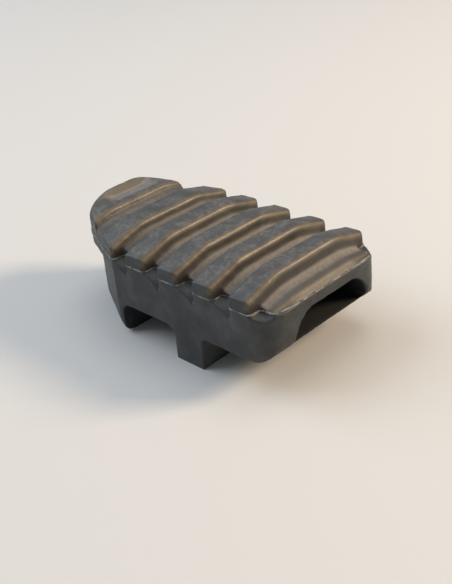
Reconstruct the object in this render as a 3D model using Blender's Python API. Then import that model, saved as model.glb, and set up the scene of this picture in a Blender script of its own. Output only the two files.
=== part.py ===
"""Slip-on rubber pad for a sewing machine pedal.

The real pad is one rubber moulding. It is modelled as the two halves that its flat mould line
divides: the ribbed tread above the line and the hollow sleeve below it.
X runs along the pad towards its open end, Y across it, and Z up from the surface it rests on.
"""
import math

import bpy
import bmesh
from mathutils import Matrix, Vector

MM = 0.001

# Overall size
LENGTH = 80.0 * MM
WIDTH = 44.0 * MM
LINE_HEIGHT = 21.6 * MM          # the flat mould line all round the pad
CROWN_HEIGHT = 28.4 * MM         # the tread's flat middle
SHOULDER_WIDTH = 11.1 * MM       # each side of the flat middle
SHOULDER_DROP = 3.0 * MM

# Tread
RIB_PITCH = 12.0 * MM
RIB_COUNT = 6
FIRST_RIB_GAP = 13.2 * MM        # the rounded end's rib stands a little further off
LAST_RIDGE_X = 33.8 * MM
RIB_TOP = 5.5 * MM               # length of a rib's top, along X
RIB_TOP_FALL = 0.3 * MM          # each rib's top slopes down a little away from its ridge
RIDGE_ROUNDING = 0.7 * MM
GROOVE_DEPTH = 4.0 * MM
FILLET_RUN = 2.6 * MM            # from a ridge to the end of the hollow curve at its foot
FILLET_FORM = ((0.17, 0.50), (0.35, 0.78), (0.62, 0.94), (1.00, 1.00))    # shares of run and depth
BACK_WALL_RUN = 0.3 * MM         # the lean of each rib's back wall
NOTCH_DEPTH = 4.0 * MM           # how far rib ends stand out from the groove ends
NOTCH_START = 0.65 * MM          # past each ridge
LAST_DEPTH = 4.4 * MM            # of the last groove, which runs down to the lip
LIP_X = 38.4 * MM
LIP_HEIGHT = 23.2 * MM           # edge where the tread turns down to the open end
TREAD_EDGE = 0.25 * MM           # the least thickness left above the mould line
END_RIM = 3.0 * MM               # width of the rounded end's raised rim
END_RIM_ROUNDING = 6.0 * MM
END_DISH = 1.2 * MM              # hollow between the rim and the first ridge
DISH_FORM = ((0.40, 1.00), (0.70, 0.85))    # shares of its length and of its depth

# Plan outline of the rounded end
TAPER_START_X = -14.2 * MM
TREAD_END_HALF = 10.6 * MM       # half width where the taper would meet the end line
SLEEVE_END_X = -38.2 * MM
SLEEVE_END_HALF = 8.6 * MM
END_RADIUS = 10.8 * MM
OPEN_CORNER_RADIUS = 6.1 * MM

# Sleeve
WALL_FOOT_HEIGHT = 9.2 * MM      # underside of the side walls
POCKET_FLOOR = 10.4 * MM
POCKET_CEILING = 18.6 * MM
POCKET_HALF_WIDTH = 13.9 * MM
POCKET_SHIFT = 2.2 * MM          # the pocket lies a little off centre
POCKET_CORNER_RADIUS = 7.4 * MM
POCKET_START_X = -18.0 * MM
END_FOOT_X = -12.6 * MM          # inner face of the foot under the rounded end
END_FOOT_RADIUS = 3.5 * MM
CROSS_BAR_FROM = 7.4 * MM
CROSS_BAR_TO = 17.2 * MM
WINDOW_HALF_WIDTH = 16.6 * MM    # opening in the underside, between foot and bar
END_WALL_X = 39.6 * MM
END_WALL_ROUNDING = 4.6 * MM     # along the bottom edge of the end wall
COLLAR_HEIGHT = 3.0 * MM         # round the rounded end, the wall's top stands as far out as the tread
FLUTE_HEIGHT = 4.2 * MM

SEAM_GAP = 0.3 * MM
CLEAR = 0.5 * MM                 # how far a cutter runs past the face that it cuts
TOUCH = 0.01 * MM
FAR = 200.0 * MM
SHARP_ANGLE = math.radians(60.0)

OPEN_END_X = LENGTH / 2
CLOSED_END_X = -LENGTH / 2
HALF_WIDTH = WIDTH / 2
NOTCH_HALF_WIDTH = HALF_WIDTH - NOTCH_DEPTH


def clear_scene():
    for item in list(bpy.data.objects):
        bpy.data.objects.remove(item, do_unlink=True)


def new_collection(name):
    collection = bpy.data.collections.new(name)
    bpy.context.scene.collection.children.link(collection)
    return collection


def rubber(name, colour):
    """Matt black rubber."""
    material = bpy.data.materials.new(name)
    material.use_nodes = True
    shader = material.node_tree.nodes["Principled BSDF"]
    shader.inputs["Base Color"].default_value = (*colour, 1.0)
    shader.inputs["Roughness"].default_value = 0.7
    shader.inputs["Metallic"].default_value = 0.0
    return material


def add_object(name, mesh, collection):
    item = bpy.data.objects.new(name, mesh)
    collection.objects.link(item)
    return item


def arc(centre, radius, start, end, steps):
    """Points on an arc, angles in degrees."""
    points = []
    for step in range(steps + 1):
        angle = math.radians(start + (end - start) * step / steps)
        points.append((centre[0] + radius * math.cos(angle), centre[1] + radius * math.sin(angle)))
    return points


def prism(name, outline, depth, collection):
    """A flat outline in XY, as thick as depth and centred on Z = 0, made a welded mesh."""
    curve = bpy.data.curves.new(name + "_outline", "CURVE")
    curve.dimensions = "2D"
    curve.fill_mode = "BOTH"
    curve.extrude = depth / 2
    spline = curve.splines.new("POLY")
    spline.points.add(len(outline) - 1)
    for point, (x, y) in zip(spline.points, outline):
        point.co = (x, y, 0.0, 1.0)
    spline.use_cyclic_u = True
    source = add_object(name + "_curve", curve, collection)
    bpy.context.view_layer.update()
    evaluated = source.evaluated_get(bpy.context.evaluated_depsgraph_get())
    mesh = bpy.data.meshes.new_from_object(evaluated)
    bpy.data.objects.remove(source, do_unlink=True)
    work = bmesh.new()
    work.from_mesh(mesh)
    bmesh.ops.remove_doubles(work, verts=work.verts, dist=0.001 * MM)
    bmesh.ops.recalc_face_normals(work, faces=work.faces)
    work.to_mesh(mesh)
    work.free()
    mesh.name = name
    return add_object(name, mesh, collection)


def block(name, low, high, collection):
    """A box between two corners."""
    work = bmesh.new()
    bmesh.ops.create_cube(work, size=1.0)
    low = Vector(low)
    high = Vector(high)
    bmesh.ops.scale(work, vec=high - low, verts=work.verts)
    bmesh.ops.translate(work, vec=(low + high) / 2, verts=work.verts)
    mesh = bpy.data.meshes.new(name)
    work.to_mesh(mesh)
    work.free()
    return add_object(name, mesh, collection)


def bevel_edges(item, width, segments, picked):
    """Round the sharp edges that picked chooses by their two end points."""
    work = bmesh.new()
    work.from_mesh(item.data)
    sharp = [edge for edge in work.edges if edge.calc_face_angle() > SHARP_ANGLE]
    edges = [edge for edge in sharp if picked(edge.verts[0].co, edge.verts[1].co)]
    bmesh.ops.bevel(work, geom=edges, offset=width, segments=segments, profile=0.5, affect="EDGES")
    work.to_mesh(item.data)
    work.free()


def as_cutter(item):
    item.hide_render = True
    item.display_type = "WIRE"
    return item


def boolean(item, other, operation):
    modifier = item.modifiers.new(other.name, "BOOLEAN")
    modifier.operation = operation
    modifier.object = as_cutter(other)
    modifier.solver = "EXACT"


def ridge_positions():
    """X of each rib's ridge, from the open end to the rounded end."""
    ridges = [LAST_RIDGE_X - RIB_PITCH * index for index in range(RIB_COUNT - 1)]
    ridges.append(ridges[-1] - FIRST_RIB_GAP)
    return ridges


def plan_outline(end_x, end_half, open_x, half_width):
    """Straight sides, a taper, and a round end that is flat across its middle."""
    taper = math.atan2(half_width - end_half, TAPER_START_X - end_x)
    tangent = END_RADIUS * math.tan((math.pi / 2 - taper) / 2)
    centre = (end_x + END_RADIUS, end_half - tangent)
    far_arc = arc(centre, END_RADIUS, 90.0 + math.degrees(taper), 180.0, 6)
    far_half = [(open_x, half_width), (TAPER_START_X, half_width)] + far_arc
    near_half = [(x, -y) for x, y in reversed(far_half)]
    return far_half + near_half


def crown_drop(y):
    """How far the tread lies below its flat middle, at Y."""
    past_flat = abs(y) - (HALF_WIDTH - SHOULDER_WIDTH)
    return SHOULDER_DROP * max(0.0, past_flat) / SHOULDER_WIDTH


def fillet(ridge_x, depth):
    """From a ridge down its steep face and through the hollow curve to the groove's floor."""
    return [(ridge_x + run * FILLET_RUN, drop * depth) for run, drop in FILLET_FORM]


def tread_profile():
    """The tread's top along X, as (x, depth below the crown), from rounded to open end."""
    ridges = sorted(ridge_positions())
    first = ridges[0]
    dish_length = first - CLOSED_END_X - END_RIM
    profile = [(CLOSED_END_X, 0.0), (CLOSED_END_X + END_RIM, 0.0)]
    for run, drop in DISH_FORM:
        profile.append((CLOSED_END_X + END_RIM + run * dish_length, drop * END_DISH))
    for index, ridge_x in enumerate(ridges):
        if index > 0:
            back_x = ridge_x - RIB_TOP
            profile += fillet(ridges[index - 1], GROOVE_DEPTH)
            profile += [(back_x - BACK_WALL_RUN, GROOVE_DEPTH), (back_x, RIB_TOP_FALL)]
        profile += [
            (ridge_x - RIDGE_ROUNDING, 0.0),
            (ridge_x, 0.2 * RIDGE_ROUNDING),
            (ridge_x + 0.5 * RIDGE_ROUNDING, RIDGE_ROUNDING),
        ]
    profile += fillet(ridges[-1], LAST_DEPTH)
    profile += [(LIP_X, CROWN_HEIGHT - LIP_HEIGHT), (OPEN_END_X, CROWN_HEIGHT - LINE_HEIGHT)]
    return profile


def loft_tread(collection):
    """Carry the ribbed section across the width, following the crown."""
    profile = tread_profile()
    bottom = LINE_HEIGHT + SEAM_GAP / 2
    flat = HALF_WIDTH - SHOULDER_WIDTH
    stations = [-HALF_WIDTH, -NOTCH_HALF_WIDTH, -flat, flat, NOTCH_HALF_WIDTH, HALF_WIDTH]
    work = bmesh.new()
    rings = []
    lowest = bottom + TREAD_EDGE
    for y in stations:
        ring = [work.verts.new((OPEN_END_X, y, bottom)), work.verts.new((CLOSED_END_X, y, bottom))]
        for x, depth in profile:
            height = max(lowest, CROWN_HEIGHT - crown_drop(y) - depth)
            ring.append(work.verts.new((x, y, height)))
        rings.append(ring)
    count = len(rings[0])
    for ring, following in zip(rings, rings[1:]):
        for index in range(count):
            after = (index + 1) % count
            work.faces.new((ring[index], ring[after], following[after], following[index]))
    work.faces.new(rings[0])
    work.faces.new(rings[-1])
    bmesh.ops.recalc_face_normals(work, faces=work.faces)
    mesh = bpy.data.meshes.new("tread_sole")
    work.to_mesh(mesh)
    work.free()
    return add_object("tread_sole", mesh, collection)


def groove_end_spans():
    """X from and to of each stretch of side where a groove opens."""
    ridges = sorted(ridge_positions())
    spans = []
    for left, right in zip(ridges[1:], ridges[2:]):
        spans.append((left + NOTCH_START, right - RIB_TOP))
    spans.append((ridges[-1] + NOTCH_START, OPEN_END_X + CLEAR))
    return spans


def make_plan_cutter(cutters):
    """The tread's outline as a tall block, its top edge rounded all round the rounded end."""
    depth = CROWN_HEIGHT
    outline = plan_outline(CLOSED_END_X, TREAD_END_HALF, OPEN_END_X + CLEAR, HALF_WIDTH)
    plan = prism("tread_plan", outline, depth, cutters)

    def end_rim(a, b):
        return min(a.z, b.z) > depth / 2 - TOUCH and max(a.x, b.x) < TAPER_START_X + TOUCH

    bevel_edges(plan, END_RIM_ROUNDING, 4, end_rim)
    plan.location.z = CROWN_HEIGHT + CLEAR - depth / 2
    return plan


def make_tread(parts, cutters):
    """Upper half of the moulding: ribs, grooves, the low lip and the rounded end."""
    tread = loft_tread(parts)
    tread.data.materials.append(rubber("tread_rubber", (0.030, 0.030, 0.032)))
    boolean(tread, make_plan_cutter(cutters), "INTERSECT")
    for index, (start, end) in enumerate(groove_end_spans()):
        for side in (-1, 1):
            edge = sorted((side * NOTCH_HALF_WIDTH, side * FAR))
            name = "notch_{}_{}".format(index, "near" if side < 0 else "far")
            notch = block(name, (start, edge[0], 0.0), (end, edge[1], 2 * CROWN_HEIGHT), cutters)
            boolean(tread, notch, "DIFFERENCE")
    return tread


def pocket_outline():
    """Section of the pocket in YZ: flat floor, straight sides and large round top corners."""
    radius = POCKET_CORNER_RADIUS
    half = POCKET_HALF_WIDTH
    right = arc((half - radius, POCKET_CEILING - radius), radius, 0.0, 90.0, 6)
    left = [(-y, z) for y, z in reversed(right)]
    points = [(half, POCKET_FLOOR)] + right + left + [(-half, POCKET_FLOOR)]
    return [(y + POCKET_SHIFT, z) for y, z in points]


def make_pocket(cutters):
    """The pocket runs out through the open end."""
    end = OPEN_END_X + CLEAR
    pocket = prism("pocket", pocket_outline(), end - POCKET_START_X, cutters)
    pocket.rotation_euler = (math.pi / 2, 0.0, math.pi / 2)
    pocket.location.x = (POCKET_START_X + end) / 2
    return pocket


def make_end_rounding(cutters):
    """What the end wall's bottom edge loses to its rounding, as a bar along Y."""
    radius = END_WALL_ROUNDING
    centre = (END_WALL_X - radius, WALL_FOOT_HEIGHT + radius)
    outside = [
        (centre[0], WALL_FOOT_HEIGHT - CLEAR),
        (END_WALL_X + CLEAR, WALL_FOOT_HEIGHT - CLEAR),
        (END_WALL_X + CLEAR, centre[1]),
    ]
    rounding = prism("end_rounding", arc(centre, radius, 0.0, -90.0, 6) + outside, 2 * WIDTH, cutters)
    rounding.rotation_euler = (math.pi / 2, 0.0, 0.0)
    return rounding


def make_flute(index, start, end, side, cutters):
    """The cut that carries a groove's end down the side wall, deepest by the next rib."""
    inner = side * NOTCH_HALF_WIDTH
    outer = side * (HALF_WIDTH + CLEAR)
    top = LINE_HEIGHT + CLEAR
    work = bmesh.new()
    for x, y in ((start, inner), (start, outer), (end, inner), (end, outer)):
        work.verts.new((x, y, LINE_HEIGHT))
        work.verts.new((x, y, top))
    work.verts.new((end, outer, LINE_HEIGHT - FLUTE_HEIGHT * (1.0 + CLEAR / NOTCH_DEPTH)))
    bmesh.ops.convex_hull(work, input=work.verts)
    name = "flute_{}_{}".format(index, "near" if side < 0 else "far")
    mesh = bpy.data.meshes.new(name)
    work.to_mesh(mesh)
    work.free()
    return add_object(name, mesh, cutters)


def make_collar(height, cutters):
    """The band under the mould line that stands out round the rounded end."""
    outline = plan_outline(CLOSED_END_X, TREAD_END_HALF, LAST_RIDGE_X, HALF_WIDTH - TOUCH)
    collar = prism("collar", outline, COLLAR_HEIGHT, cutters)
    collar.location.z = height - TOUCH - COLLAR_HEIGHT / 2
    return collar


def make_sleeve(parts, cutters):
    """Lower half of the moulding: walls, pocket, foot and cross bar."""
    height = LINE_HEIGHT - SEAM_GAP / 2
    outline = plan_outline(SLEEVE_END_X, SLEEVE_END_HALF, END_WALL_X, HALF_WIDTH)
    sleeve = prism("pedal_sleeve", outline, height, parts)
    sleeve.data.transform(Matrix.Translation((0.0, 0.0, height / 2)))
    sleeve.data.materials.append(rubber("sleeve_rubber", (0.034, 0.035, 0.038)))

    def open_corner(a, b):
        return abs(a.z - b.z) > height / 2 and min(a.x, b.x) > END_WALL_X - TOUCH

    def closed_bottom(a, b):
        return max(a.z, b.z) < TOUCH and max(a.x, b.x) < TAPER_START_X + TOUCH

    bevel_edges(sleeve, OPEN_CORNER_RADIUS, 5, open_corner)
    bevel_edges(sleeve, END_FOOT_RADIUS, 3, closed_bottom)
    boolean(sleeve, make_collar(height, cutters), "UNION")

    arch_high = (CROSS_BAR_FROM, FAR, WALL_FOOT_HEIGHT)
    window_low = (END_FOOT_X, -WINDOW_HALF_WIDTH, -FAR)
    window_high = (CROSS_BAR_FROM, WINDOW_HALF_WIDTH, POCKET_FLOOR + CLEAR)
    past_bar_high = (FAR, FAR, WALL_FOOT_HEIGHT)
    cuts = [
        block("side_arches", (END_FOOT_X, -FAR, -FAR), arch_high, cutters),
        block("past_bar", (CROSS_BAR_TO, -FAR, -FAR), past_bar_high, cutters),
        block("window", window_low, window_high, cutters),
        make_pocket(cutters),
        make_end_rounding(cutters),
    ]
    for index, (start, end) in enumerate(groove_end_spans()):
        for side in (-1, 1):
            cuts.append(make_flute(index, start, end, side, cutters))
    for cut in cuts:
        boolean(sleeve, cut, "DIFFERENCE")
    return sleeve


clear_scene()
pad_parts = new_collection("sewing_machine_pedal_pad")
pad_cutters = new_collection("cutters")
make_tread(pad_parts, pad_cutters)
make_sleeve(pad_parts, pad_cutters)
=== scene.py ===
import math

import bmesh
import bpy
from mathutils import Matrix, Vector


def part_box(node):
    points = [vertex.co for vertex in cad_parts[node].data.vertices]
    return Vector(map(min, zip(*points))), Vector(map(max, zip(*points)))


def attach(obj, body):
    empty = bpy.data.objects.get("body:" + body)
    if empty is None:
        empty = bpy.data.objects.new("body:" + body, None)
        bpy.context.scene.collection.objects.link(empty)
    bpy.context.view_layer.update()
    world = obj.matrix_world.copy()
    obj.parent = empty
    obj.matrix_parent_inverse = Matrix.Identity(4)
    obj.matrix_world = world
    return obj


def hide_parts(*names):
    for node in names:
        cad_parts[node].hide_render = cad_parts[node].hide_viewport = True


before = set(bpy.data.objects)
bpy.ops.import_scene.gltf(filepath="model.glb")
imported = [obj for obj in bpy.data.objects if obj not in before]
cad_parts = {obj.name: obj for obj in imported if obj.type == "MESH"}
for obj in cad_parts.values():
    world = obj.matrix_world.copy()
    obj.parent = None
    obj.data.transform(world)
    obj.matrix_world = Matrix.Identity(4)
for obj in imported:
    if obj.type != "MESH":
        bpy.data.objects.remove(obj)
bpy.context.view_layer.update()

# ---------------------------------------------------------------------------------------------
# The moulding. The real pad is one piece of black rubber, pressed in a two-part mould that meets
# on a flat line all round. Its whole body is made first, then parted at that line into the tread
# and the sleeve, so that the walls run straight through from one to the other.
# ---------------------------------------------------------------------------------------------

MM = 0.001
tread_low, tread_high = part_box("tread_sole")
sleeve_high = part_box("pedal_sleeve")[1]

# The rounded end, the open end, half the width, the highest point and the mould line
END_X = tread_low[0]
OPEN_X = tread_high[0]
HALF = tread_high[1]
CROWN = tread_high[2]
LINE = (tread_low[2] + sleeve_high[2]) / 2

# The ribs' ridges, from the rounded end to the open one; the first is a little further off
PITCH = 12.0 * MM
END_PITCH = 13.2 * MM
OPEN_RIDGE = 33.8 * MM
RIDGES = [OPEN_RIDGE - PITCH * index for index in range(5)]
RIDGES.append(RIDGES[-1] - END_PITCH)
RIDGES.sort()

# The length of each rib's level top, where the first ridge is the end cap's and has none, and the
# depth of the groove past it, as a share of a full one
RIB_TOPS = [0.0, 6.7 * MM, 6.1 * MM, 6.1 * MM, 5.7 * MM, 5.6 * MM]
GROOVE_SHARES = [0.62, 0.86, 1.0, 1.0, 1.0, 1.0]

# Places closer together than SAME count as one; SNAP is how near a cut may lie to a corner
SAME = 0.02 * MM
SNAP = 0.0001 * MM


def deselect():
    bpy.ops.object.select_all(action="DESELECT")


def take(item):
    """Make item the one that operators act on."""
    deselect()
    item.select_set(True)
    bpy.context.view_layer.objects.active = item


def block(name, low, high):
    """A cube, sized and placed between two corners."""
    deselect()
    middle = [(a + b) / 2 for a, b in zip(low, high)]
    size = [b - a for a, b in zip(low, high)]
    bpy.ops.mesh.primitive_cube_add(size=1.0, location=middle, scale=size)
    item = bpy.context.active_object
    item.name = name
    item.data.name = name
    bpy.ops.object.transform_apply(location=True, rotation=True, scale=True)
    return item


def pick_points(item, wanted):
    """In edit mode, select the corners for which wanted(place) is true, and nothing else."""
    bpy.ops.mesh.select_mode(type="VERT")
    mesh = bmesh.from_edit_mesh(item.data)
    for vertex in mesh.verts:
        vertex.select_set(wanted(vertex.co))
    mesh.select_flush_mode()
    bmesh.update_edit_mesh(item.data)


def pick_edges(item, wanted):
    """In edit mode, select the edges whose two ends satisfy wanted(one, other)."""
    bpy.ops.mesh.select_mode(type="EDGE")
    mesh = bmesh.from_edit_mesh(item.data)
    for edge in mesh.edges:
        edge.select_set(False)
    for edge in mesh.edges:
        if wanted(edge.verts[0].co, edge.verts[1].co):
            edge.select_set(True)
    bmesh.update_edit_mesh(item.data)


def slice_at(axis, places):
    """Cut the mesh being edited right through at each place along an axis."""
    normal = [0.0, 0.0, 0.0]
    normal[axis] = 1.0
    for place in places:
        point = [0.0, 0.0, 0.0]
        point[axis] = place
        bpy.ops.mesh.select_all(action="SELECT")
        bpy.ops.mesh.bisect(plane_co=point, plane_no=normal, threshold=SNAP)


def move(item, wanted, by):
    """In edit mode, move the corners for which wanted(place) is true."""
    pick_points(item, wanted)
    bpy.ops.transform.translate(value=by)


def round_edges(item, wanted, width, segments, fullness=0.5):
    """Round the chosen edges; fullness under 0.5 is flatter than an arc."""
    pick_edges(item, wanted)
    bpy.ops.mesh.bevel(offset=width, segments=segments, profile=fullness, affect="EDGES")


def near(a, b, within=SAME):
    return abs(a - b) < within


def split_in_triangles(item):
    """Flat faces only, so that a cut through a bent one stays clean."""
    take(item)
    bpy.ops.object.mode_set(mode="EDIT")
    bpy.ops.mesh.select_all(action="SELECT")
    bpy.ops.mesh.quads_convert_to_tris(quad_method="FIXED", ngon_method="BEAUTY")
    bpy.ops.object.mode_set(mode="OBJECT")


def combine(item, tool, operation):
    """Add or take away another solid, which is used up."""
    split_in_triangles(tool)
    take(item)
    step = item.modifiers.new(tool.name, "BOOLEAN")
    step.operation = operation
    step.object = tool
    step.solver = "EXACT"
    bpy.ops.object.modifier_apply(modifier=step.name)
    bpy.data.objects.remove(tool, do_unlink=True)


# The sides taper from here to the rounded end, whose two corners each have a side, a setback and a
# fullness. The corner on the -Y side is rounded further back than the other.
TAPER_X = -14.2 * MM
END_CORNERS = ((1, 3.8 * MM, 0.5), (-1, 9.8 * MM, 0.42))


def on_end_outline(a, b):
    """An edge of the rounded end's outline, and not the seam where the taper starts."""
    at_seam = near(a.x, TAPER_X) and near(b.x, TAPER_X)
    return max(a.x, b.x) < TAPER_X + SAME and not at_seam


def plan_body(name, end_x, end_half, open_x, low, high, rim=0.0):
    """A slab with straight sides that taper to a rounded end; rim rounds the end's top edge."""
    item = block(name, (end_x, -HALF, low), (open_x, HALF, high))
    bpy.ops.object.mode_set(mode="EDIT")
    slice_at(0, [TAPER_X])
    for side in (-1, 1):
        move(
            item,
            lambda p: near(p.x, end_x) and p.y * side > 0,
            (0, -side * (HALF - end_half), 0),
        )
    for side, setback, fullness in END_CORNERS:
        round_edges(
            item,
            lambda a, b: near(a.x, end_x) and near(b.x, end_x) and near(a.y, b.y) and a.y * side > 0,
            width=setback,
            segments=14,
            fullness=fullness,
        )
    if rim:
        round_edges(
            item,
            lambda a, b: min(a.z, b.z) > high - SAME and on_end_outline(a, b),
            width=rim,
            segments=10,
        )
    bpy.ops.object.mode_set(mode="OBJECT")
    return item


SHOULDER_FROM = 10.9 * MM
SHOULDER_SLOPE = 3.0 / 11.1
SHOULDER_SOFT = 1.9 * MM


def crown_drop(y):
    """How far the tread lies below its flat middle; the break into the shoulder is soft."""
    past = abs(y) - SHOULDER_FROM
    if past <= -SHOULDER_SOFT:
        return 0.0
    if past < SHOULDER_SOFT:
        return SHOULDER_SLOPE * (past + SHOULDER_SOFT) ** 2 / (4 * SHOULDER_SOFT)
    return SHOULDER_SLOPE * past


# The tread's section along the pad: for each rib a level top, a rounded ridge, a steep face that
# runs out in a hollow curve, the groove's floor, and the next rib's upright back. Each form gives
# millimetres past the ridge and below the top; past the last ridge comes the low lip.
RIDGE_FORM = ((-1.4, 0.0), (-0.9, 0.06), (-0.4, 0.26), (0.0, 0.6), (0.3, 1.15), (0.55, 2.1))
HOLLOW_FORM = ((0.9, 3.05), (1.25, 3.45), (1.7, 3.78), (2.3, 3.97), (3.0, 4.05))
LIP_FORM = ((1.0, 3.4), (1.7, 4.1), (2.5, 4.35), (4.4, 5.05), (4.8, 5.35))
GROOVE = 4.0 * MM
BACK_LEAN = 0.3 * MM
BACK_DROP = 0.28 * MM
CAP_FLAT = 3.0 * MM
section = [(END_X, 0.0), (END_X + CAP_FLAT, 0.0)]
for index, ridge in enumerate(RIDGES):
    if index:
        back = ridge - RIB_TOPS[index]
        section.append((back - BACK_LEAN, GROOVE * GROOVE_SHARES[index - 1]))
        section.append((back, BACK_DROP))
    share = GROOVE_SHARES[index]
    section += [(ridge + run * MM, drop * MM * share) for run, drop in RIDGE_FORM]
    if index < len(RIDGES) - 1:
        section += [(ridge + run * MM, drop * MM * share) for run, drop in HOLLOW_FORM]
section += [(RIDGES[-1] + run * MM, drop * MM) for run, drop in LIP_FORM]
section.append((OPEN_X, CROWN - LINE))

# A slab is cut across at the section's points and along at the shoulders, and pressed down to both.
# Its skirt reaches below the line, so that it overlaps the walls.
SKIRT = 0.7 * MM
body = block("moulding", (END_X, -HALF, LINE - SKIRT), (OPEN_X, HALF, CROWN))
bpy.ops.object.mode_set(mode="EDIT")
slice_at(0, [x for x, drop in section[1:-1]])
shoulder_rows = [9.0 * MM, 10.0 * MM, 10.9 * MM, 11.8 * MM, 12.8 * MM]
slice_at(1, [side * row for side in (-1, 1) for row in shoulder_rows])
for x, drop in section:
    if drop:
        move(body, lambda p: near(p.x, x) and near(p.z, CROWN), (0, 0, -drop))
for side in (-1, 1):
    for row in shoulder_rows + [HALF]:
        y = side * row
        move(body, lambda p: near(p.y, y) and p.z > LINE - SKIRT + SAME, (0, 0, -crown_drop(y)))
pick_points(body, lambda p: p.z < LINE + SAME and not near(p.z, LINE - SKIRT))
bpy.ops.transform.resize(value=(1, 1, 0), center_override=(0, 0, LINE))
bpy.ops.object.mode_set(mode="OBJECT")

# The rounded end: its plan, and the roll of its top edge. The tool reaches past the body on the
# sides that it leaves alone.
TREAD_END_HALF = 10.6 * MM
rounded = plan_body(
    "rounded_end",
    END_X,
    TREAD_END_HALF,
    open_x=OPEN_X + 1.0 * MM,
    low=10.0 * MM,
    high=CROWN + 0.1 * MM,
    rim=2.6 * MM,
)
combine(body, rounded, "INTERSECT")

# A shallow hollow between the end's rim and the first ridge. It narrows towards the rim, and its
# floor is smaller than its mouth and rises towards the ridge.
RIM_X = -38.9 * MM
RIDGE_FOOT_X = -28.4 * MM
HOLLOW_HALF = 17.0 * MM
HOLLOW_DEPTH = 1.2 * MM
FLOOR_SETBACK = 3.7 * MM
FLOOR_NARROWER = 4.0 * MM
FLOOR_RISE = 1.15 * MM
hollow = block(
    "end_hollow",
    (RIM_X, -HOLLOW_HALF, CROWN - HOLLOW_DEPTH),
    (RIDGE_FOOT_X, HOLLOW_HALF, CROWN + 1.0 * MM),
)
bpy.ops.object.mode_set(mode="EDIT")
for side, rim_in, floor_in in ((-1, 12.0 * MM, 3.5 * MM), (1, 6.0 * MM, 3.7 * MM)):
    move(hollow, lambda p: near(p.x, RIM_X) and p.y * side > 0, (0, -side * rim_in, 0))
    move(
        hollow,
        lambda p: near(p.x, RIM_X) and p.y * side > 0 and p.z < CROWN,
        (FLOOR_SETBACK, -side * floor_in, 0),
    )
    move(
        hollow,
        lambda p: near(p.x, RIDGE_FOOT_X) and p.y * side > 0 and p.z < CROWN,
        (0, -side * FLOOR_NARROWER, FLOOR_RISE),
    )
bpy.ops.object.mode_set(mode="OBJECT")
combine(body, hollow, "DIFFERENCE")

# Walls below the line: a collar round the rounded end, then the narrower sleeve
WALL_FOOT = 9.2 * MM
WALL_END_HALF = 8.6 * MM
END_WALL = sleeve_high[0]
COLLAR_DEPTH = 3.0 * MM
COLLAR_STEP = 1.8 * MM
collar = plan_body(
    "collar", END_X, TREAD_END_HALF, open_x=TAPER_X + 0.5 * MM, low=LINE - COLLAR_DEPTH, high=LINE
)
walls = plan_body("walls", END_X + COLLAR_STEP, WALL_END_HALF, open_x=END_WALL, low=0.0, high=LINE)
take(walls)
bpy.ops.object.mode_set(mode="EDIT")
round_edges(
    walls,
    lambda a, b: near(a.x, END_WALL) and near(b.x, END_WALL) and near(a.y, b.y),
    width=6.1 * MM,
    segments=10,
)
round_edges(
    walls,
    lambda a, b: max(a.z, b.z) < SAME and on_end_outline(a, b),
    width=4.0 * MM,
    segments=6,
)
bpy.ops.object.mode_set(mode="OBJECT")

# Grooves run out through the sides in notches. A notch has a rounded inner corner and flares at
# the side. The last one is bent round the open end's corner: each bend is so far short of the
# end and so far inward. The tools reach OUT past the side.
NOTCH = 4.0 * MM
INNER = HALF - NOTCH
OUT = 1.2 * MM
NOTCH_START = 0.65 * MM
NOTCH_GAP = 0.06 * MM
FLARE = 2.1 * MM
FLARE_DEPTH = 0.9 * MM
LAST_OUT = 1.5 * MM
LAST_BENDS = ((2.0 * MM, 0.0), (0.8 * MM, 0.6 * MM), (-LAST_OUT, 3.2 * MM))
FLUTE_STEPS = 8
FLUTE_DEPTH = 3.6 * MM
FLUTE_CURVE = 1.3
for index, ridge in enumerate(RIDGES[1:], 1):
    start = ridge + NOTCH_START
    is_last = index == len(RIDGES) - 1
    if is_last:
        end = OPEN_X + LAST_OUT
    else:
        end = RIDGES[index + 1] - RIB_TOPS[index + 1] - NOTCH_GAP
    for side in (-1, 1):
        inner, outer = sorted((side * INNER, side * (HALF + OUT)))
        notch = block("notch", (start, inner, LINE - 2 * SKIRT), (end, outer, CROWN + 2 * MM))
        bpy.ops.object.mode_set(mode="EDIT")
        round_edges(
            notch,
            lambda a, b: near(a.x, start) and near(b.x, start)
            and near(a.y, side * INNER) and near(b.y, side * INNER),
            width=1.0 * MM,
            segments=4,
        )
        slice_at(1, [side * (HALF - FLARE_DEPTH)])
        move(notch, lambda p: near(p.x, start) and near(p.y, side * (HALF + OUT)), (-FLARE, 0, 0))
        if is_last:
            slice_at(0, [OPEN_X - short for short, inward in LAST_BENDS[:-1]])
            for short, inward in LAST_BENDS:
                move(
                    notch,
                    lambda p: near(p.x, OPEN_X - short) and near(p.y, side * INNER),
                    (0, -side * inward, 0),
                )
        bpy.ops.object.mode_set(mode="OBJECT")
        combine(body, notch, "DIFFERENCE")

        # Below the line the notch fades out down the wall, in a hollow curve that is deepest
        # beside the next rib
        run = (OPEN_X if is_last else end) - start
        flute = block("flute", (start, inner, LINE), (start + run, outer, LINE + 0.5 * MM))
        bpy.ops.object.mode_set(mode="EDIT")
        shares = [(step + 1) / FLUTE_STEPS for step in range(FLUTE_STEPS)]
        slice_at(0, [start + run * share for share in shares[:-1]])
        for share in shares:
            depth = FLUTE_DEPTH * share ** FLUTE_CURVE * (NOTCH + OUT) / NOTCH
            move(
                flute,
                lambda p: near(p.x, start + run * share) and near(p.y, side * (HALF + OUT))
                and near(p.z, LINE),
                (0, 0, -depth),
            )
        bpy.ops.object.mode_set(mode="OBJECT")
        combine(walls, flute, "DIFFERENCE")

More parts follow.
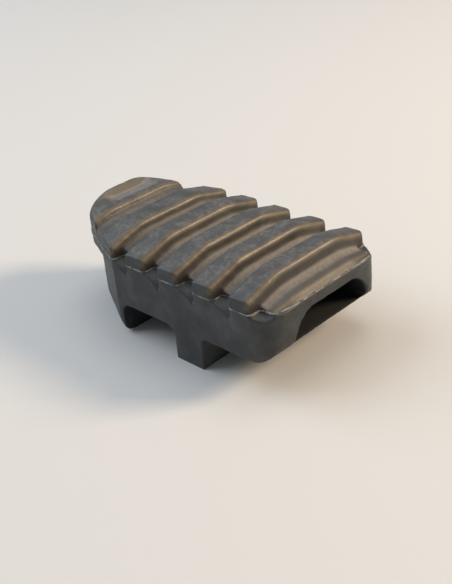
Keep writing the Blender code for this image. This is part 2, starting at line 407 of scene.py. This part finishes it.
# Arches through both sides between the foot and the cross bar. The tools reach well past the pad.
FOOT_X = -12.6 * MM
BAR_FROM = 7.4 * MM
BAR_TO = 17.2 * MM
ASIDE = 30 * MM
BELOW = -5 * MM
arches = block("arches", (FOOT_X, -ASIDE, BELOW), (BAR_FROM, ASIDE, WALL_FOOT))
bpy.ops.object.mode_set(mode="EDIT")
round_edges(
    arches,
    lambda a, b: near(a.z, WALL_FOOT) and near(b.z, WALL_FOOT) and near(a.x, b.x),
    width=3.0 * MM,
    segments=6,
)
bpy.ops.object.mode_set(mode="OBJECT")
combine(walls, arches, "DIFFERENCE")

# The space under the wall past the bar
past_bar = block("past_bar", (BAR_TO, -ASIDE, BELOW), (OPEN_X + 20 * MM, ASIDE, WALL_FOOT))
bpy.ops.object.mode_set(mode="EDIT")
round_edges(
    past_bar,
    lambda a, b: near(a.z, WALL_FOOT) and near(b.z, WALL_FOOT) and near(a.x, BAR_TO) and near(b.x, BAR_TO),
    width=1.6 * MM,
    segments=4,
)
bpy.ops.object.mode_set(mode="OBJECT")
combine(walls, past_bar, "DIFFERENCE")

# The window between the arches, up into the pocket
WINDOW_HALF = 16.6 * MM
WINDOW_TOP = 12.0 * MM
window = block("window", (FOOT_X, -WINDOW_HALF, BELOW), (BAR_FROM, WINDOW_HALF, WINDOW_TOP))
bpy.ops.object.mode_set(mode="EDIT")
round_edges(window, lambda a, b: near(a.x, b.x) and near(a.y, b.y), width=2.0 * MM, segments=5)
bpy.ops.object.mode_set(mode="OBJECT")
combine(walls, window, "DIFFERENCE")

# The pocket for the metal pedal, a little off the middle, with large round top corners, open at
# the end
POCKET_DEEP_X = -18.0 * MM
POCKET_MIDDLE = 2.2 * MM
POCKET_HALF = 13.9 * MM
POCKET_FLOOR = 10.4 * MM
POCKET_CEILING = 18.6 * MM
pocket = block(
    "pocket",
    (POCKET_DEEP_X, POCKET_MIDDLE - POCKET_HALF, POCKET_FLOOR),
    (OPEN_X + 2 * MM, POCKET_MIDDLE + POCKET_HALF, POCKET_CEILING),
)
bpy.ops.object.mode_set(mode="EDIT")
round_edges(
    pocket,
    lambda a, b: near(a.z, POCKET_CEILING) and near(b.z, POCKET_CEILING) and near(a.y, b.y),
    width=7.4 * MM,
    segments=12,
)
bpy.ops.object.mode_set(mode="OBJECT")
combine(walls, pocket, "DIFFERENCE")

# The end wall rolls under at its bottom edge
ROLL = 4.6 * MM
under_roll = block(
    "under_roll",
    (END_WALL - ROLL, -ASIDE, WALL_FOOT - 2 * MM),
    (END_WALL + 2 * MM, ASIDE, WALL_FOOT + ROLL),
)
deselect()
bpy.ops.mesh.primitive_cylinder_add(
    vertices=64,
    radius=ROLL,
    depth=2 * (ASIDE + 10 * MM),
    location=(END_WALL - ROLL, 0, WALL_FOOT + ROLL),
    rotation=(math.pi / 2, 0, 0),
)
roll = bpy.context.active_object
roll.name = "roll"
bpy.ops.object.transform_apply(location=True, rotation=True, scale=True)
combine(under_roll, roll, "DIFFERENCE")
combine(walls, under_roll, "DIFFERENCE")

# Rubber has no truly sharp edges. An even skin of small faces, GRAIN across, is laid over the
# whole moulding and relaxed.
GRAIN = 0.36 * MM
take(body)
collar.select_set(True)
walls.select_set(True)
bpy.ops.object.join()
skin = body.modifiers.new("even_skin", "REMESH")
skin.mode = "VOXEL"
skin.voxel_size = GRAIN
bpy.ops.object.modifier_apply(modifier=skin.name)
relax = body.modifiers.new("relax", "SMOOTH")
relax.factor = 0.5
relax.iterations = 3
bpy.ops.object.modifier_apply(modifier=relax.name)

# The surface is never quite true: it wavers by up to a tenth of a millimetre either way
waver_form = bpy.data.textures.new("waver", "CLOUDS")
waver_form.noise_scale = 4.5 * MM
waver_form.noise_depth = 2
waver = body.modifiers.new("waver", "DISPLACE")
waver.texture = waver_form
waver.texture_coords = "LOCAL"
waver.strength = 0.22 * MM
waver.mid_level = 0.5
bpy.ops.object.modifier_apply(modifier=waver.name)

# The foot and the bar rest flat
RESTING = 0.06 * MM
bpy.ops.object.mode_set(mode="EDIT")
pick_points(body, lambda p: p.z < RESTING)
bpy.ops.transform.resize(value=(1, 1, 0), center_override=(0, 0, 0))
bpy.ops.object.mode_set(mode="OBJECT")


PARTING = LINE + 0.28 * MM


def part_at_line(source, name, keep_above):
    """A copy of the body, cut off flat just above the notch floors, with the cut closed."""
    take(source)
    bpy.ops.object.duplicate()
    item = bpy.context.active_object
    item.name = name
    item.data.name = name
    bpy.ops.object.mode_set(mode="EDIT")
    bpy.ops.mesh.select_all(action="SELECT")
    bpy.ops.mesh.bisect(
        plane_co=(0, 0, PARTING),
        plane_no=(0, 0, 1),
        threshold=SNAP,
        use_fill=True,
        clear_inner=keep_above,
        clear_outer=not keep_above,
    )
    bpy.ops.object.mode_set(mode="OBJECT")
    bpy.ops.object.shade_smooth_by_angle(angle=math.radians(50))
    return item


class Value:
    """A number or colour on its way through a material. Sums written on it add Math nodes."""

    def __init__(self, socket):
        self.socket = socket

    def node(self, kind, settings, sockets, output=0):
        """Add a node: its settings first, then the values or links of its sockets."""
        tree = self.socket.id_data
        made = tree.nodes.new(kind)
        for name, setting in settings.items():
            setattr(made, name, setting)
        for name, given in sockets.items():
            if isinstance(given, Value):
                tree.links.new(given.socket, made.inputs[name])
            else:
                made.inputs[name].default_value = given
        return Value(made.outputs[output])

    def maths(self, operation, *terms):
        return self.node("ShaderNodeMath", {"operation": operation}, dict(enumerate(terms)))

    def __add__(self, other):
        return self.maths("ADD", self, other)

    def __radd__(self, other):
        return self.maths("ADD", other, self)

    def __sub__(self, other):
        return self.maths("SUBTRACT", self, other)

    def __rsub__(self, other):
        return self.maths("SUBTRACT", other, self)

    def __mul__(self, other):
        return self.maths("MULTIPLY", self, other)

    def __rmul__(self, other):
        return self.maths("MULTIPLY", other, self)

    def __truediv__(self, other):
        return self.maths("DIVIDE", self, other)

    def along(self, axis):
        """One part of a place or direction: 0, 1 and 2 are X, Y and Z."""
        return self.node("ShaderNodeSeparateXYZ", {}, {"Vector": self}, output=axis)

    def from_middle(self, middle):
        """How far off a middle, on either side."""
        off = self - middle
        return off.maths("ABSOLUTE", off)

    def between(self, low, high):
        """0 at low and 1 at high, eased and held outside."""
        return self.node(
            "ShaderNodeMapRange",
            {"interpolation_type": "SMOOTHSTEP"},
            {"Value": self, "From Min": low, "From Max": high},
        )

    def noise(self, scale, detail=3.0, roughness=0.55):
        return self.node(
            "ShaderNodeTexNoise",
            {},
            {"Vector": self, "Scale": scale, "Detail": detail, "Roughness": roughness},
        )

    def mixed(self, first, second):
        """Between two colours, by this much: sockets 0, 6 and 7 are how much and the two."""
        return self.node(
            "ShaderNodeMix", {"data_type": "RGBA"}, {0: self, 6: first, 7: second}, output=2
        )

    def relief(self, strength):
        """The fine roughness that the mould leaves, where this is its height."""
        return self.node(
            "ShaderNodeBump", {}, {"Height": self, "Strength": strength, "Distance": 0.12 * MM}
        )


def rubber(piece, name):
    """Give a piece a new material, and return its shader and the places on its surface."""
    material = bpy.data.materials.new(name)
    material.use_nodes = True
    piece.data.materials.clear()
    piece.data.materials.append(material)
    tree = material.node_tree
    return tree.nodes["Principled BSDF"], Value(tree.nodes.new("ShaderNodeTexCoord").outputs["Object"])


def link(value, shader, socket):
    shader.id_data.links.new(value.socket, shader.inputs[socket])


# ---------------------------------------------------------------------------------------------
# Ribbed tread: the upper half of the moulding, with six cross ribs and the rounded end cap. Black
# rubber, rubbed grey on the rib tops, with a painted tan highlight along the ridges that is mottled
# like wear, painted dark shade on the steep faces, and dust with a painted pale sheen in the grooves.
# ---------------------------------------------------------------------------------------------

tread = part_at_line(body, "ribbed_tread", keep_above=True)
shader, places = rubber(tread, "tread_rubber_worn_and_painted_light")
x = places.along(0)
y = places.along(1)
z = places.along(2)
facing = Value(shader.id_data.nodes.new("ShaderNodeNewGeometry").outputs["Normal"])
up = facing.along(2)

cloud = places.noise(180.0, 4.0)
mottle = places.noise(900.0, 5.0, 0.65)
speckle = places.noise(2600.0, 2.0)

# Distance past the last ridge, along the pad, repeating with the ribs and a little uneven. The
# first ridge is further off than the others, so the stretch beside it is brought up to them.
beside_first = x.maths("LESS_THAN", x, -20.5 * MM)
even_x = x + beside_first * (END_PITCH - PITCH)
phase = (even_x - RIDGES[1]) / PITCH
past_ridge = (phase - phase.maths("FLOOR", phase)) * PITCH
past_ridge = past_ridge + (mottle - 0.5) * (0.12 * MM)

# Ridges and the lip's edge get a painted tan highlight, mottled like wear; the steep faces get
# painted dark brown shade; and the grooves' floors get dust with a painted pale sheen where they
# face up, less of it towards the rounded end. Level tops are rubbed grey.
on_ridge = (1 - past_ridge.between(0.2 * MM, 0.5 * MM)) + past_ridge.between(11.1 * MM, 11.8 * MM)
on_ridge = on_ridge * (1 - x.between(37.0 * MM, 37.6 * MM)) * z.between(LINE + 1.0 * MM, LINE + 2.2 * MM)
# The lip's convex edge gets the same painted tan highlight as the ridges
lip = x.between(37.9 * MM, 38.3 * MM) * (1 - x.between(38.6 * MM, 39.0 * MM))
lip = lip * z.between(LINE, LINE + 0.6 * MM)
# Painted tan highlight on the ridges and the lip's edge, mottled like wear
ridge_wear_and_highlight = (on_ridge + lip) * (cloud.between(0.3, 0.7) * 0.45 + 0.55)
# Mask for the painted dark shade on the steep faces below each ridge
steep_face_shade = past_ridge.between(0.45 * MM, 0.6 * MM) * (1 - past_ridge.between(0.8 * MM, 1.05 * MM))
# Groove floors get dust together with a painted pale sheen, only where they face up
floor_dust_and_sheen = past_ridge.between(0.75 * MM, 1.25 * MM) * (1 - past_ridge.between(4.6 * MM, 6.0 * MM))
floor_dust_and_sheen = floor_dust_and_sheen * up.between(0.2, 0.8) * z.between(LINE, LINE + 0.8 * MM)
floor_dust_and_sheen = floor_dust_and_sheen * (1 - x.between(36.0 * MM, 37.2 * MM) * 0.75)
floor_dust_and_sheen = floor_dust_and_sheen * (x.between(-22.0 * MM, -2.0 * MM) * 0.7 + 0.3)
# A faint painted tan highlight on the upward slope past the lip
beyond_lip_highlight = x.between(38.7 * MM, 39.2 * MM) * up.between(0.1, 0.4)
top_wear = z.between(CROWN - 3.4 * MM, CROWN - 2.6 * MM) * up.between(0.7, 0.98)

# The end's hollow gets a painted tan highlight on the slope below the rim, and dust with a painted
# pale sheen on its floor
across = 1 - y.from_middle(3.0 * MM).between(6.0 * MM, 9.5 * MM)
across = across * z.between(CROWN - 2.0 * MM, CROWN - 1.5 * MM)
# Painted tan highlight on the slope below the end's rim
end_slope_highlight = x.between(-37.6 * MM, -36.9 * MM) * (1 - x.between(-35.6 * MM, -34.8 * MM)) * across
# Dust with a painted pale sheen on the end hollow's floor
end_floor_dust_and_sheen = x.between(-35.8 * MM, -34.8 * MM) * (1 - x.between(-31.5 * MM, -29.2 * MM)) * across

black = (0.020, 0.021, 0.022, 1.0)
grey = (0.125, 0.126, 0.127, 1.0)
# This pale colour is partly real dust and partly a painted sheen of reflected light
dust_and_sheen = (0.23, 0.205, 0.182, 1.0)
# This tan is the colour of a painted warm highlight
tan_highlight = (0.165, 0.118, 0.066, 1.0)
ground = cloud.between(0.25, 0.75).mixed(black, (0.040, 0.040, 0.041, 1.0))
worn = (top_wear * (0.3 + mottle.between(0.35, 0.7) * cloud.between(0.3, 0.65) * 0.8)).mixed(ground, grey)
# Dust with a painted pale sheen on the groove floors and the end hollow's floor
dusty_and_sheen = ((floor_dust_and_sheen + end_floor_dust_and_sheen * 0.8) * (0.6 + mottle.between(0.3, 0.7) * 0.3)).mixed(worn, dust_and_sheen)
# Painted dark brown shade on the steep faces
with_steep_shade = (steep_face_shade * 0.75).mixed(dusty_and_sheen, (0.030, 0.020, 0.013, 1.0))
# Painted tan highlight on the ridges, the lip, the end's slope and the slope past the lip
with_tan_highlight = ((ridge_wear_and_highlight + end_slope_highlight * 0.75 + beyond_lip_highlight * 0.3) * 0.7).mixed(with_steep_shade, tan_highlight)
flecks = speckle.between(0.72, 0.76) * 0.35
link(flecks.mixed(with_tan_highlight, (0.20, 0.19, 0.17, 1.0)), shader, "Base Color")
link(0.40 + mottle * 0.2 + floor_dust_and_sheen * 0.2 - ridge_wear_and_highlight * 0.08, shader, "Roughness")
grain = places.noise(1400.0, 4.0, 0.6) * 0.6 + speckle * 0.4
link(grain.relief(0.35), shader, "Normal")
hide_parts("tread_sole")
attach(tread, "root")

# ---------------------------------------------------------------------------------------------
# Hollow sleeve: the lower half of the moulding, with the pocket, the foot under the rounded end
# and the cross bar. The same rubber, unworn, with a faint bloom that lies in cloudy patches, and
# painted shade that turns the pocket's inside all but black.
# ---------------------------------------------------------------------------------------------

sleeve = part_at_line(body, "hollow_sleeve", keep_above=False)
shader, places = rubber(sleeve, "sleeve_rubber_bloomed_and_painted_shade")
x = places.along(0)
y = places.along(1)
z = places.along(2)

# The pocket's inside is painted all but black, as painted shade, from its deep end to just short
# of its mouth
pocket_painted_shade = 1 - y.from_middle(POCKET_MIDDLE).between(POCKET_HALF, POCKET_HALF + 0.1 * MM)
pocket_painted_shade = pocket_painted_shade * (1 - z.between(POCKET_CEILING + 0.1 * MM, POCKET_CEILING + 0.3 * MM))
pocket_painted_shade = pocket_painted_shade * z.between(POCKET_FLOOR - 0.4 * MM, POCKET_FLOOR - 0.2 * MM)
pocket_painted_shade = pocket_painted_shade * (1 - x.between(38.6 * MM, 39.2 * MM))
pocket_painted_shade = pocket_painted_shade * x.between(POCKET_DEEP_X - 0.6 * MM, POCKET_DEEP_X - 0.2 * MM)

cloud = places.noise(130.0, 4.0, 0.6)
mottle = places.noise(750.0, 5.0, 0.65)
speckle = places.noise(2300.0, 2.0)
bloom = cloud.between(0.38, 0.7) * (0.5 + mottle.between(0.3, 0.7) * 0.5)
ground = bloom.mixed((0.022, 0.024, 0.025, 1.0), (0.058, 0.062, 0.064, 1.0))
flecks = speckle.between(0.73, 0.77) * 0.3
flecked = flecks.mixed(ground, (0.17, 0.17, 0.16, 1.0))
# Painted shade: the pocket's inside is mixed to all but black
link((pocket_painted_shade * 0.9).mixed(flecked, (0.003, 0.003, 0.003, 1.0)), shader, "Base Color")
link(0.38 + mottle * 0.25 + pocket_painted_shade * 0.35, shader, "Roughness")
grain = places.noise(1200.0, 4.0, 0.6) * 0.6 + speckle * 0.4
link(grain.relief(0.3), shader, "Normal")
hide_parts("pedal_sleeve")
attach(sleeve, "root")

# ---------------------------------------------------------------------------------------------
# Mould flash: the thin bead of rubber squeezed out where the two parts of the mould meet. It
# follows the line all round, in and out of every notch, and its thickness is uneven.
# ---------------------------------------------------------------------------------------------

# Only the outline of the tread's flat underside is kept, and a bead is laid along it that swells
# and thins by up to a third
FLASH = 0.21 * MM
flash = part_at_line(body, "mould_flash", keep_above=True)
bpy.ops.object.mode_set(mode="EDIT")
bpy.ops.mesh.select_mode(type="FACE")
mesh = bmesh.from_edit_mesh(flash.data)
for face in mesh.faces:
    face.select_set(not all(near(vertex.co.z, PARTING, within=0.001 * MM) for vertex in face.verts))
bmesh.update_edit_mesh(flash.data)
bpy.ops.mesh.delete(type="FACE")
bpy.ops.mesh.select_all(action="SELECT")
bpy.ops.mesh.dissolve_limited(angle_limit=0.0001)
bpy.ops.mesh.delete(type="ONLY_FACE")
bpy.ops.object.mode_set(mode="OBJECT")
bpy.ops.object.convert(target="CURVE")
flash = bpy.context.active_object
flash.data.bevel_depth = FLASH
flash.data.bevel_resolution = 1
for spline in flash.data.splines:
    for index, point in enumerate(spline.points):
        point.radius = 1.0 + 0.18 * math.sin(index * 0.37) + 0.14 * math.sin(index * 0.113 + 1.0)
bpy.ops.object.convert(target="MESH")
flash = bpy.context.active_object
flash.name = "mould_flash"
bpy.ops.object.shade_smooth()
shader, places = rubber(flash, "flash_rubber")
mottle = places.noise(700.0, 4.0, 0.6)
# Mottled between near black and a pale grey, much paler than the rubber round it
patchy_grey = mottle.between(0.35, 0.65).mixed((0.05, 0.05, 0.05, 1.0), (0.30, 0.29, 0.27, 1.0))
link(patchy_grey, shader, "Base Color")
link(0.5 + mottle * 0.2, shader, "Roughness")
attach(flash, "root")

bpy.data.objects.remove(body, do_unlink=True)

# ---------------------------------------------------------------------------------------------
# Studio: a plain pale floor under soft light, warm from beyond the open end and cool from beside
# the rounded one, and a camera that looks down on the near corner of the open end.
# ---------------------------------------------------------------------------------------------

deselect()
bpy.ops.mesh.primitive_plane_add(size=3.0, location=(0, 0, 0))
floor = bpy.context.active_object
floor.name = "floor"
floor_paint = bpy.data.materials.new("pale_floor")
floor_paint.use_nodes = True
paint = floor_paint.node_tree.nodes["Principled BSDF"]
paint.inputs["Base Color"].default_value = (0.62, 0.61, 0.60, 1.0)
paint.inputs["Roughness"].default_value = 0.75
floor.data.materials.append(floor_paint)

world = bpy.data.worlds.new("room")
bpy.context.scene.world = world
world.use_nodes = True
world.node_tree.nodes["Background"].inputs["Color"].default_value = (0.85, 0.92, 1.0, 1.0)
world.node_tree.nodes["Background"].inputs["Strength"].default_value = 0.30


def soft_light(name, azimuth, elevation, distance, size, power, colour):
    """A square lamp that looks at the pad from azimuth, turned from +X towards +Y."""
    around = math.radians(azimuth)
    above = math.radians(elevation)
    aim = Vector((0, 0, 0.015))
    way = Vector((math.cos(around) * math.cos(above), math.sin(around) * math.cos(above), math.sin(above)))
    deselect()
    bpy.ops.object.light_add(type="AREA", location=aim + way * distance)
    lamp = bpy.context.active_object
    lamp.name = name
    lamp.rotation_euler = way.to_track_quat("Z", "Y").to_euler()
    lamp.data.shape = "SQUARE"
    lamp.data.size = size
    lamp.data.energy = power
    lamp.data.color = colour


soft_light("warm_lamp", 44, 31, distance=0.9, size=0.24, power=8.2, colour=(1.0, 0.79, 0.55))
soft_light("cool_window", 205, 40, distance=1.1, size=0.9, power=8.5, colour=(0.84, 0.92, 1.0))
soft_light("overhead", 100, 72, distance=1.2, size=0.7, power=3.4, colour=(1.0, 0.97, 0.93))

# The camera's place round the pad, from looking along +Y, its height and its lean, in degrees
AROUND = 46.5302
ABOVE = 29.6098
LEAN = -5.5783
LOOK_AT = (26.756 * MM, -21.026 * MM, 25.4 * MM)
DISTANCE = 221.764 * MM
deselect()
bpy.ops.object.camera_add()
camera = bpy.context.active_object
camera.matrix_world = (
    Matrix.Translation(LOOK_AT)
    @ Matrix.Rotation(math.radians(AROUND), 4, "Z")
    @ Matrix.Rotation(math.radians(90.0 - ABOVE), 4, "X")
    @ Matrix.Rotation(math.radians(LEAN), 4, "Z")
    @ Matrix.Translation((0.0, 0.0, DISTANCE))
)
camera.data.sensor_fit = "HORIZONTAL"
camera.data.sensor_width = 36.0
camera.data.lens = 76.106
camera.data.clip_start = 0.005
bpy.context.scene.camera = camera
bpy.context.scene.view_settings.view_transform = "Standard"
